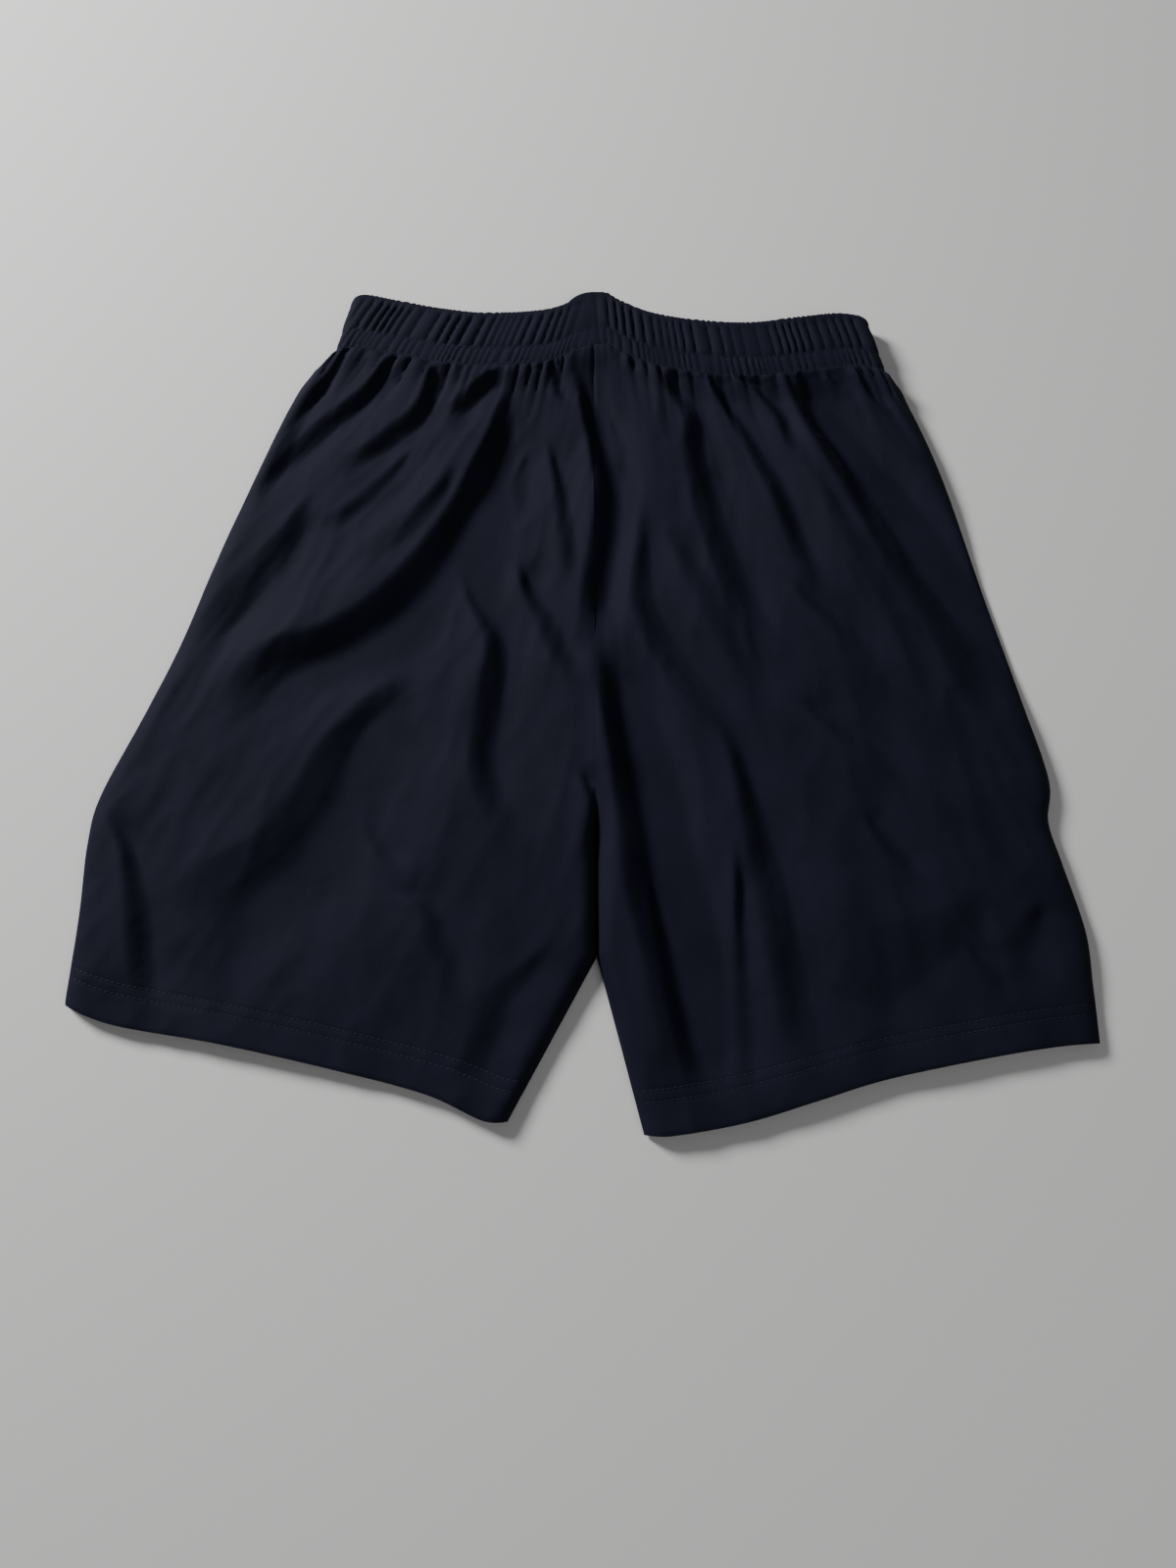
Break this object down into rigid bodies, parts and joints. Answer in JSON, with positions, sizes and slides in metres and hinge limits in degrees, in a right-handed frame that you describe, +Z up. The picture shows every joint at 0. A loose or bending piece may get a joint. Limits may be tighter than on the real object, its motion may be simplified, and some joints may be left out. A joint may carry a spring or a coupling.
{
  "type": "boxing shorts",
  "caption": "Plain woven boxing shorts laid flat back side up, with a gathered elastic waistband, two open legs and turned-up double-stitched hems.",
  "frame": {"origin": "on the surface the shorts lie on, under the middle of the garment as it lies", "axes": "+X along the waist to the wearer's right-hand leg as seen from behind, +Y from the hems to the waistband, +Z up from the surface"},
  "size_m": [0.577, 0.5264, 0.0143],
  "materials": {
    "shell_cloth": "matt dark navy woven polyester with a faint sheen",
    "elastic": "woven elastic webbing, hidden in the waistband",
    "stitching": "twin-needle polyester thread, a shade lighter than the cloth",
    "label": "blank satin ribbon"
  },
  "bodies": {
    "right_half": {"back_panel_right": "shell_cloth", "front_panel_right": "shell_cloth", "waistband_casing_right": "shell_cloth", "hem_facing_right": "shell_cloth", "side_seam_right": "shell_cloth", "inseam_right": "shell_cloth", "waist_elastic_right": "elastic", "waistband_stitch_upper_right": "stitching", "waistband_stitch_lower_right": "stitching", "hem_stitch_upper_right": "stitching", "hem_stitch_lower_right": "stitching", "back_rise_seam": "shell_cloth", "front_rise_seam": "shell_cloth"},
    "left_half": {"back_panel_left": "shell_cloth", "front_panel_left": "shell_cloth", "waistband_casing_left": "shell_cloth", "hem_facing_left": "shell_cloth", "side_seam_left": "shell_cloth", "inseam_left": "shell_cloth", "waist_elastic_left": "elastic", "waistband_stitch_upper_left": "stitching", "waistband_stitch_lower_left": "stitching", "hem_stitch_upper_left": "stitching", "hem_stitch_lower_left": "stitching", "care_label": "label"}
  },
  "joints": [
    {"name": "centre_fold", "type": "hinge", "parent": "right_half", "child": "left_half", "pos_m": [0.01357, 0, 0.018], "axis": [0, 1, 0], "range_deg": [0, 178]}
  ]
}
